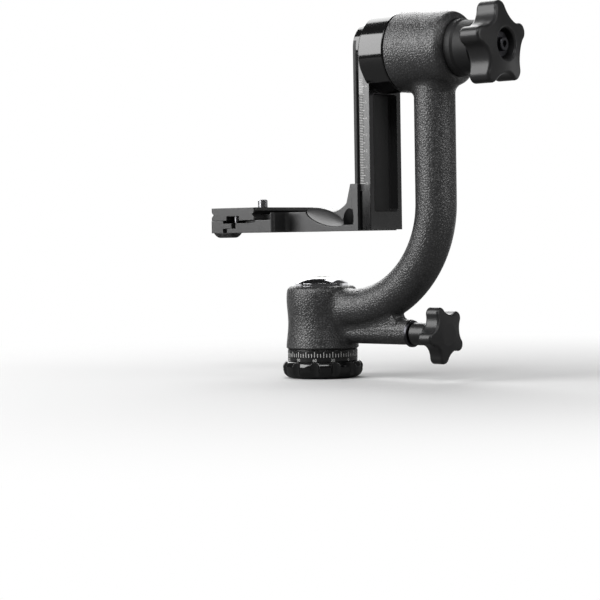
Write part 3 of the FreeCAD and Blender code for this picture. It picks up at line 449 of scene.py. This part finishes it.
def turnedMetal(name, axis, turn, centre):
    colour, tarnish, roughness = metals[name]
    look = turning
    coat = Finish(name + axis.capitalize(), centre, turn)
    normal, worn = coat.softEdge(look["edge"])
    wave = coat.node("TexWave", wave_type="RINGS", rings_direction="Z", wave_profile="SIN",
                     Scale=look["rings"], Distortion=look["wobble"], Detail=2.0)
    coat.link(coat.where, wave.inputs["Vector"])
    rings = wave.outputs["Fac"]
    cloud = coat.noise(look["cloud"])
    bright = [min(1, part * look["wornBrightness"]) for part in colour]
    tone = coat.blend(coat.spread(cloud, 0.0, 1.0, *look["tarnishFrom"]), colour, tarnish)
    tone = coat.blend(coat.spread(worn, 0.0, look["wear"]), tone, bright)
    ringRough = coat.spread(rings, -look["ringRough"], look["ringRough"])
    rough = coat.add(coat.spread(cloud, *roughness), ringRough)
    return coat.finish(tone, rough, coat.bump(rings, look["depth"], look["strength"], normal), Metallic=1.0)


slip = {
    "deep": (0.74, 0.73, 0.69), "light": (0.86, 0.85, 0.81), "cloud": 200.0, "rough": (0.35, 0.5),
    "grain": 1500.0, "depth": 0.01, "strength": 0.5, "glow": 0.08,
}


def slipWasher(look):
    coat = Finish("slipWasher")
    cloud = coat.noise(look["cloud"])
    colour = coat.blend(cloud, look["deep"], look["light"])
    normal = coat.bump(coat.noise(look["grain"]), look["depth"], look["strength"])
    return coat.finish(colour, coat.spread(cloud, *look["rough"]), normal, Subsurface_Weight=look["glow"])


liquids = {
    # name: deep colour, clear colour, haze scale, haze depth, roughness low and high, clearness, refraction
    "vialFluid": ((0.52, 0.86, 0.16), (0.80, 0.95, 0.55), 220.0, 0.004, (0.03, 0.08), 0.55, 1.45),
    "bubbleSkin": ((0.80, 0.95, 0.45), (0.90, 1.0, 0.66), 300.0, 0.003, (0.04, 0.10), 0.35, 1.33),
}
hazeStrength = 0.3


def liquidCoat(name):
    deepColour, clearColour, scale, depth, roughness, clearness, refraction = liquids[name]
    coat = Finish(name)
    haze = coat.noise(scale, 3.0)
    colour = coat.blend(haze, deepColour, clearColour)
    normal = coat.bump(haze, depth, hazeStrength)
    return coat.finish(colour, coat.spread(haze, *roughness), normal, Transmission_Weight=clearness,
                       IOR=refraction)


rubber = {
    # the groove colour is painted shade: the grooves are darker than the ribs
    "groove": (0.008, 0.008, 0.008), "rib": (0.028, 0.028, 0.028), "ribs": 160.0,
    "grain": 1800.0, "grainHeight": 0.12, "depth": 0.18, "strength": 0.8, "rough": (0.62, 0.82),
}


def gripRubber(look):
    coat = Finish("gripRubber")
    wave = coat.node("TexWave", wave_type="BANDS", bands_direction="Y", Scale=look["ribs"])
    coat.link(coat.where, wave.inputs["Vector"])
    ribs = wave.outputs["Fac"]
    grain = coat.noise(look["grain"], 3.0)
    # painted shade: the colour darkens in the grooves between the ribs
    colour = coat.blend(ribs, look["groove"], look["rib"])
    height = coat.add(ribs, coat.spread(grain, 0.0, look["grainHeight"]))
    normal = coat.bump(height, look["depth"], look["strength"])
    return coat.finish(colour, coat.spread(grain, *look["rough"]), normal)


paint = {
    # white filling of engraved marks, a little grey where it is thin
    "thin": (0.62, 0.62, 0.61), "full": (0.86, 0.86, 0.85), "patch": 900.0, "patchFrom": (0.35, 0.65),
    "depth": 0.01, "strength": 0.5, "rough": (0.45, 0.65),
}


def markPaint(look):
    coat = Finish("markPaint")
    patches = coat.noise(look["patch"])
    colour = coat.blend(coat.spread(patches, 0.0, 1.0, *look["patchFrom"]), look["thin"], look["full"])
    normal = coat.bump(patches, look["depth"], look["strength"])
    return coat.finish(colour, coat.spread(patches, *look["rough"]), normal)


coats = {
    "crinkle": crinkleCoat(crinkle),
    "gloss": anodisedCoat("glossBlack", places=dullPlacesAndPaintedLight),
    "satin": anodisedCoat("satinBlack", (1, 1, 0.12)),
    "plate": anodisedCoat("plateBlack", (1, 0.08, 1)),
    "knob": mouldedCoat("knobBlack"),
    "collar": mouldedCoat("collarBlack"),
    "slip": slipWasher(slip),
    "vial": liquidCoat("vialFluid"),
    "rubber": gripRubber(rubber),
    "ink": mouldedCoat("markInk"),
    "bubble": liquidCoat("bubbleSkin"),
    "paint": markPaint(paint),
}
for axis, (turn, centre, names) in axes.items():
    for metal in names:
        coats[metal + axis.capitalize()] = turnedMetal(metal, axis, turn, centre)

wearing = {
    "crinkle": ["arm_casting"],
    "gloss": ["base_flange", "swing_arm"],
    "satin": ["degree_dial"],
    "polishedRimPan": ["level_housing"],
    "plate": ["platform_bracket", "clamp_jaw", "qr_plate"],
    "knob": ["pan_knob", "tilt_knob", "height_knob", "clamp_knob"],
    "collar": ["tilt_collar"],
    "slip": ["pan_thrust_washer", "tilt_friction_washer"],
    "vial": ["level_vial"],
    "rubber": ["plate_pads"],
    "turnedSteelPan": ["pan_spindle", "pan_clamp_washer", "pan_retaining_nut", "camera_screw",
                       "plate_stop_screws"],
    "turnedSteelTilt": ["tilt_shaft", "collar_pins"],
    "turnedSteelStub": ["pan_lock_stud", "height_lock_screw"],
    "turnedSteelClamp": ["clamp_screw", "clamp_guide_pins"],
    "blackSteelPan": ["spindle_screws"],
    "blackSteelTilt": ["shaft_screws", "tilt_stop_screw", "tilt_knob_insert", "tilt_stop_washer"],
    "blackSteelStub": ["pan_lock_bush"],
    "bearingBronzePan": ["pan_bush_lower", "pan_bush_upper"],
    "bearingBronzeTilt": ["tilt_bush_inner", "tilt_bush_outer"],
    "machinedBrassStub": ["pan_brake_shoe"],
    "machinedBrassClamp": ["height_gib"],
}
for coat, names in wearing.items():
    for name in names:
        mesh = cad[name].data
        mesh.materials.clear()
        mesh.materials.append(coats[coat])
print("finishes are on")


# pieces that the solids don't have, with sizes and places in millimetres

def newPiece(name, shape, coat, body, crease=None):
    mesh = asMesh(name, shape)
    mesh.materials.append(coats[coat])
    piece = addObject(name, mesh)
    if crease is not None:
        mesh.shade_smooth()
        mesh.set_sharp_from_angle(angle=math.radians(crease))
    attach(piece, body)
    return piece


def turnVerts(shape, verts, degrees, axis):
    turn = Matrix.Rotation(math.radians(degrees), 3, axis)
    bmesh.ops.rotate(shape, cent=(0, 0, 0), matrix=turn, verts=verts)


def moveVerts(shape, verts, way):
    bmesh.ops.translate(shape, vec=Vector(way) * mm, verts=verts)


def addBlock(shape, low, high, turn=None):
    # a block between two corners
    made = bmesh.ops.create_cube(shape, size=1.0)["verts"]
    bmesh.ops.scale(shape, vec=Vector([b - a for a, b in zip(low, high)]) * mm, verts=made)
    moveVerts(shape, made, [(a + b) / 2 for a, b in zip(low, high)])
    if turn is not None:
        bmesh.ops.transform(shape, matrix=turn, verts=made)
    return made


def addRod(shape, radius, length, sides):
    # a rod along z, its middle at the origin
    return bmesh.ops.create_cone(shape, cap_ends=True, segments=sides, radius1=radius * mm,
                                 radius2=radius * mm, depth=length * mm)["verts"]


def addFigure(shape, number, height, proud, place):
    # a figure standing in the x-z plane and proud on both sides of it, before place is applied
    curve = bpy.data.curves.new("figure", "FONT")
    curve.body = str(number)
    curve.size = height * mm
    curve.extrude = proud * mm
    curve.align_x = "CENTER"
    curve.align_y = "CENTER"
    curve.resolution_u = 3
    letter = addObject("figure", curve)
    mesh = bakedMesh(letter)
    mesh.transform(place @ Matrix.Rotation(math.radians(90), 4, "X"))
    shape.from_mesh(mesh)
    bpy.data.objects.remove(letter)
    bpy.data.curves.remove(curve)
    bpy.data.meshes.remove(mesh)


def asObject(shape):
    bmesh.ops.recalc_face_normals(shape, faces=shape.faces)
    return addObject("tool", asMesh("tool", shape))


def asShape(tool):
    shape = bmesh.new()
    shape.from_mesh(tool.data)
    bpy.data.objects.remove(tool)
    return shape


def carve(body, shape, how="DIFFERENCE"):
    # joins or cuts one shape at once, and leaves no modifier behind
    tool = asObject(shape)
    change = body.modifiers.new("carve", "BOOLEAN")
    change.operation = how
    change.solver = "EXACT"
    change.object = tool
    mesh = bakedMesh(body)
    body.modifiers.clear()
    old = body.data
    body.data = mesh
    bpy.data.meshes.remove(old)
    bpy.data.objects.remove(tool)


mending = {"merge": 0.001, "double": 0.004, "sliver": 0.002}


def mergedCopy(name):
    shape = bmesh.new()
    shape.from_mesh(cad[name].data)
    bmesh.ops.remove_doubles(shape, verts=shape.verts, dist=mending["merge"] * mm)
    return shape


def keepBetween(shape, axis, low, high):
    # cuts the shape at both planes and closes it again
    for value, side in ((low, -1), (high, 1)):
        point, way = Vector(), Vector()
        point[axis] = value * mm
        way[axis] = side
        everything = list(shape.verts) + list(shape.edges) + list(shape.faces)
        cut = bmesh.ops.bisect_plane(shape, geom=everything, plane_co=point, plane_no=way,
                                     clear_outer=True)["geom_cut"]
        edges = [piece for piece in cut if isinstance(piece, bmesh.types.BMEdge)]
        bmesh.ops.triangle_fill(shape, edges=edges, use_beauty=True, use_dissolve=False)


def closeUp(shape):
    # what a cut leaves behind: doubled points, slivers, pinholes and loose edges
    bmesh.ops.remove_doubles(shape, verts=shape.verts, dist=mending["double"] * mm)
    bmesh.ops.dissolve_degenerate(shape, edges=shape.edges, dist=mending["sliver"] * mm)
    bmesh.ops.holes_fill(shape, edges=[edge for edge in shape.edges if edge.is_boundary], sides=0)
    loose = [edge for edge in shape.edges if not edge.link_faces]
    bmesh.ops.delete(shape, geom=loose, context="EDGES")
    bmesh.ops.recalc_face_normals(shape, faces=shape.faces)


bracket = {
    # the neck's plain section comes from between the two slice planes and runs from front to back
    "slice": (8.0, 9.0), "front": -16.0, "back": 7.0, "span": (-4.0, 39.8),
    "clear": ((-3.9, -30.0, 88.0), (39.7, 6.9, 140.0)),
    # the milled oval: its groove, and the plug inside the groove with the dish in it
    "dishMiddle": (16.3, 102.1), "dishHalf": (15.9, 5.0), "dishTurn": 15.0, "dishBack": -4.0,
    "dishDepth": 1.3, "grooveDepth": 1.3, "grooveWidth": 0.3, "grooveShift": (0.12, 0.10),
    "cutterFront": 2.0, "plugSink": 0.02, "plugRoot": 1.0,
    # the scoop beside it, at the foot of the wall
    "scoopMiddle": (36.3, -15.2), "scoopHalf": (5.2, 5.4), "scoopFoot": 97.1, "scoopHeight": 25.0,
    "scoopLean": 36.0, "scoopRod": 60.0,
    # facets of the cutters, the angle that stays sharp, and how square a face is before it is shaded flat
    "sides": 96, "ballFacets": (128, 96), "crease": 32, "flatFrom": 0.9995,
}


def straightenNeck(body, setup):
    # cuts the neck away, and puts its plain section back, drawn out from front to back
    tool = bmesh.new()
    addBlock(tool, *setup["clear"])
    carve(body, tool)
    tool = mergedCopy("platform_bracket")
    keepBetween(tool, 1, *setup["slice"])
    keepBetween(tool, 0, *setup["span"])
    near, far = setup["slice"]
    stretch = (setup["back"] - setup["front"]) / (far - near)
    bmesh.ops.translate(tool, vec=(0, -near * mm, 0), verts=tool.verts)
    bmesh.ops.scale(tool, vec=(1, stretch, 1), verts=tool.verts)
    bmesh.ops.translate(tool, vec=(0, setup["front"] * mm, 0), verts=tool.verts)
    carve(body, tool, "UNION")


def ovalRod(setup, front, back, smaller=0.0, shift=(0, 0)):
    # the dish's outline as a rod from front to back
    shape = bmesh.new()
    made = addRod(shape, 1.0, back - front, setup["sides"])
    turnVerts(shape, made, 90, "X")
    width, height = (half - smaller for half in setup["dishHalf"])
    bmesh.ops.scale(shape, vec=(width, 1, height), verts=made)
    turnVerts(shape, made, setup["dishTurn"], "Y")
    x, z = setup["dishMiddle"]
    moveVerts(shape, made, (x + shift[0], (front + back) / 2, z + shift[1]))
    return shape


def dishBall(setup):
    # a ball drawn out so that its cap is as wide as the oval and as deep as the dish
    shape = bmesh.new()
    deep = setup["dishDepth"]
    radius = (1 + deep ** 2) / (2 * deep)
    segments, rings = setup["ballFacets"]
    made = bmesh.ops.create_uvsphere(shape, u_segments=segments, v_segments=rings,
                                     radius=radius * mm)["verts"]
    bmesh.ops.translate(shape, vec=(0, (deep - radius) * mm, 0), verts=made)
    width, height = setup["dishHalf"]
    bmesh.ops.scale(shape, vec=(width, 1, height), verts=made)
    turnVerts(shape, made, setup["dishTurn"], "Y")
    x, z = setup["dishMiddle"]
    moveVerts(shape, made, (x, setup["front"], z))
    return shape


def millOval(body, setup):
    front = setup["front"]
    root = front + setup["grooveDepth"]
    carve(body, ovalRod(setup, front, setup["dishBack"]), "UNION")
    carve(body, ovalRod(setup, front - setup["cutterFront"], root))
    plug = ovalRod(setup, front + setup["plugSink"], root + setup["plugRoot"], setup["grooveWidth"],
                   setup["grooveShift"])
    plug = asObject(plug)
    carve(plug, dishBall(setup))
    carve(body, asShape(plug), "UNION")


def cutScoop(body, setup):
    tool = bmesh.new()
    rod = addRod(tool, 1.0, setup["scoopRod"], setup["sides"])
    bmesh.ops.scale(tool, vec=(*setup["scoopHalf"], 1), verts=rod)
    turnVerts(tool, rod, setup["scoopLean"], "X")
    moveVerts(tool, rod, (*setup["scoopMiddle"], setup["scoopFoot"]))
    keepBetween(tool, 2, setup["scoopFoot"], setup["scoopFoot"] + setup["scoopHeight"])
    carve(body, tool)


def makeBracket(setup):
    body = asObject(mergedCopy("platform_bracket"))
    straightenNeck(body, setup)
    millOval(body, setup)
    cutScoop(body, setup)
    shape = asShape(body)
    closeUp(shape)
    piece = newPiece("platformBracket", shape, "plate", "platform", setup["crease"])
    # plain faces along the axes are shaded flat
    for face in piece.data.polygons:
        face.use_smooth = max(abs(part) for part in face.normal) < setup["flatFrom"]
    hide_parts("platform_bracket")


level = {
    "ringRadius": 2.9, "ringWidth": 0.28, "ringProud": 0.04, "ringSides": 10, "ringSteps": 64,
    "bubbleHalf": (1.9, 1.9, 0.30), "bubbleShift": (0.45, 0.25), "bubbleSink": 0.55, "bubbleFacets": (40, 24),
    "crease": 60,
}


def makeLevelMarks(setup):
    low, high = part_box("level_vial")
    middle = Vector(((low[0] + high[0]) / 2, (low[1] + high[1]) / 2, high[2]))
    shape = bmesh.new()
    thick = setup["ringWidth"] / 2
    edge = bmesh.ops.create_circle(shape, segments=setup["ringSides"], radius=thick * mm)["verts"]
    turnVerts(shape, edge, 90, "X")
    moveVerts(shape, edge, (setup["ringRadius"], 0, 0))
    bmesh.ops.spin(shape, geom=shape.edges[:], cent=(0, 0, 0), axis=(0, 0, 1), angle=math.tau,
                   steps=setup["ringSteps"], use_merge=True)
    bmesh.ops.recalc_face_normals(shape, faces=shape.faces)
    moveVerts(shape, shape.verts, (0, 0, setup["ringProud"] - thick))
    bmesh.ops.translate(shape, vec=middle, verts=shape.verts)
    newPiece("levelRing", shape, "ink", "arm", setup["crease"])
    shape = bmesh.new()
    segments, rings = setup["bubbleFacets"]
    bmesh.ops.create_uvsphere(shape, u_segments=segments, v_segments=rings, radius=mm)
    bmesh.ops.scale(shape, vec=setup["bubbleHalf"], verts=shape.verts)
    moveVerts(shape, shape.verts, (*setup["bubbleShift"], -setup["bubbleHalf"][2] * setup["bubbleSink"]))
    bmesh.ops.translate(shape, vec=middle, verts=shape.verts)
    newPiece("levelBubble", shape, "bubble", "arm", setup["crease"])


knurls = {
    # node: body, axis, ribs, rib width, proud, deep, free at each end
    "clamp_knob": ("jaw_lock", "x", 44, 0.50, 0.28, 0.4, 1.5),
    "height_knob": ("height_lock", "y", 26, 0.42, 0.22, 0.4, 0.7),
}


def makeKnurls(name, body, axis, count, width, proud, deep, free):
    low, high = (Vector(corner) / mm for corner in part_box(name))
    middle = (low + high) / 2
    along = "xyz".index(axis)
    radius = (high[2] - low[2]) / 2
    reach = [width / 2, width / 2]
    reach[along] = (high[along] - low[along]) / 2 - free
    shape = bmesh.new()
    for step in range(count):
        turn = Matrix.Rotation(math.tau * step / count, 4, axis.upper())
        made = addBlock(shape, (-reach[0], -reach[1], radius - deep), (*reach, radius + proud), turn)
        moveVerts(shape, made, middle)
    newPiece(name.replace("_knob", "Knurl"), shape, "knob", body)


armBlend = {
    # a softened copy of the casting that only shows in its inner corners
    "voxel": 0.8, "soften": 0.5, "rounds": 110, "sink": 0.06, "across": (12.0, 70.0), "upward": (8.5, 74.0),
    "panClear": 19.5, "panSides": 64, "stubClear": 5.9, "stubSides": 48, "through": 300.0, "crease": 40,
}


def makeArmBlend(setup):
    body = asObject(mergedCopy("arm_casting"))
    remesh = body.modifiers.new("grid", "REMESH")
    remesh.mode = "VOXEL"
    remesh.voxel_size = setup["voxel"] * mm
    soften = body.modifiers.new("soften", "SMOOTH")
    soften.factor = setup["soften"]
    soften.iterations = setup["rounds"]
    mesh = bakedMesh(body)
    bpy.data.objects.remove(body)
    shape = bmesh.new()
    shape.from_mesh(mesh)
    bpy.data.meshes.remove(mesh)
    for vert in shape.verts:
        vert.co -= vert.normal * setup["sink"] * mm
    keepBetween(shape, 0, *setup["across"])
    keepBetween(shape, 2, *setup["upward"])
    body = asObject(shape)
    # room for the pan bearing and for the lock's stud
    tool = bmesh.new()
    addRod(tool, setup["panClear"], setup["through"], setup["panSides"])
    carve(body, tool)
    tool = bmesh.new()
    rod = addRod(tool, setup["stubClear"], setup["through"], setup["stubSides"])
    turnVerts(tool, rod, 90, "X")
    turnVerts(tool, rod, 90, "Z")
    bmesh.ops.translate(tool, vec=stubAxis, verts=rod)
    carve(body, tool)
    shape = asShape(body)
    closeUp(shape)
    newPiece("armBlend", shape, "crinkle", "arm", setup["crease"])


dial = {
    "radius": 22.35, "proud": 0.05, "deep": 0.25, "every": 5, "longEvery": 15, "width": 0.42,
    "foot": 13.6, "shortTop": 15.9, "longTop": 17.0,
    "figureEvery": 30, "figureHeight": 2.7, "figureMiddle": 11.7, "turn": -4.3,
}


def makeDialMarks(setup):
    shape = bmesh.new()
    inner, outer = setup["radius"] - setup["deep"], setup["radius"] + setup["proud"]
    half = setup["width"] / 2
    for degrees in range(0, 360, setup["every"]):
        top = setup["longTop"] if degrees % setup["longEvery"] == 0 else setup["shortTop"]
        turn = Matrix.Rotation(math.radians(setup["turn"] - degrees), 4, "Z")
        addBlock(shape, (inner, -half, setup["foot"]), (outer, half, top), turn)
    # figures grow clockwise seen from above
    for degrees in range(0, 360, setup["figureEvery"]):
        turn = Matrix.Rotation(math.radians(90 + setup["turn"] - degrees), 4, "Z")
        place = turn @ Matrix.Translation((0, -setup["radius"] * mm, setup["figureMiddle"] * mm))
        addFigure(shape, degrees, setup["figureHeight"], setup["proud"], place)
    newPiece("dialMarks", shape, "paint", "base")


railScale = {
    # a tick every millimetre and a figure every centimetre
    "face": -16.0, "proud": 0.05, "deep": 0.1, "edge": 45.6, "foot": 122.5, "top": 187.0, "width": 0.36,
    "short": 2.6, "long": 3.9, "longEvery": 5, "figureEvery": 10, "figureHeight": 2.5, "figureX": 50.7,
}


def makeRailScale(setup):
    shape = bmesh.new()
    count = int(setup["top"] - setup["foot"])
    front, back = setup["face"] - setup["proud"], setup["face"] + setup["deep"]
    half = setup["width"] / 2
    for step in range(count + 1):
        z = setup["foot"] + step
        reach = setup["long"] if step % setup["longEvery"] == 0 else setup["short"]
        addBlock(shape, (setup["edge"], front, z - half), (setup["edge"] + reach, back, z + half))
    for step in range(0, count, setup["figureEvery"]):
        place = Matrix.Translation(Vector((setup["figureX"], setup["face"], setup["foot"] + step)) * mm)
        addFigure(shape, step // setup["figureEvery"], setup["figureHeight"], setup["proud"], place)
    newPiece("railScale", shape, "paint", "swing")


makeDialMarks(dial)
makeRailScale(railScale)
print("marks are in")
makeBracket(bracket)
print("bracket is carved")
makeArmBlend(armBlend)
print("casting is blended")
makeLevelMarks(level)
for name, setting in knurls.items():
    makeKnurls(name, *setting)
print("level and knurls are in")
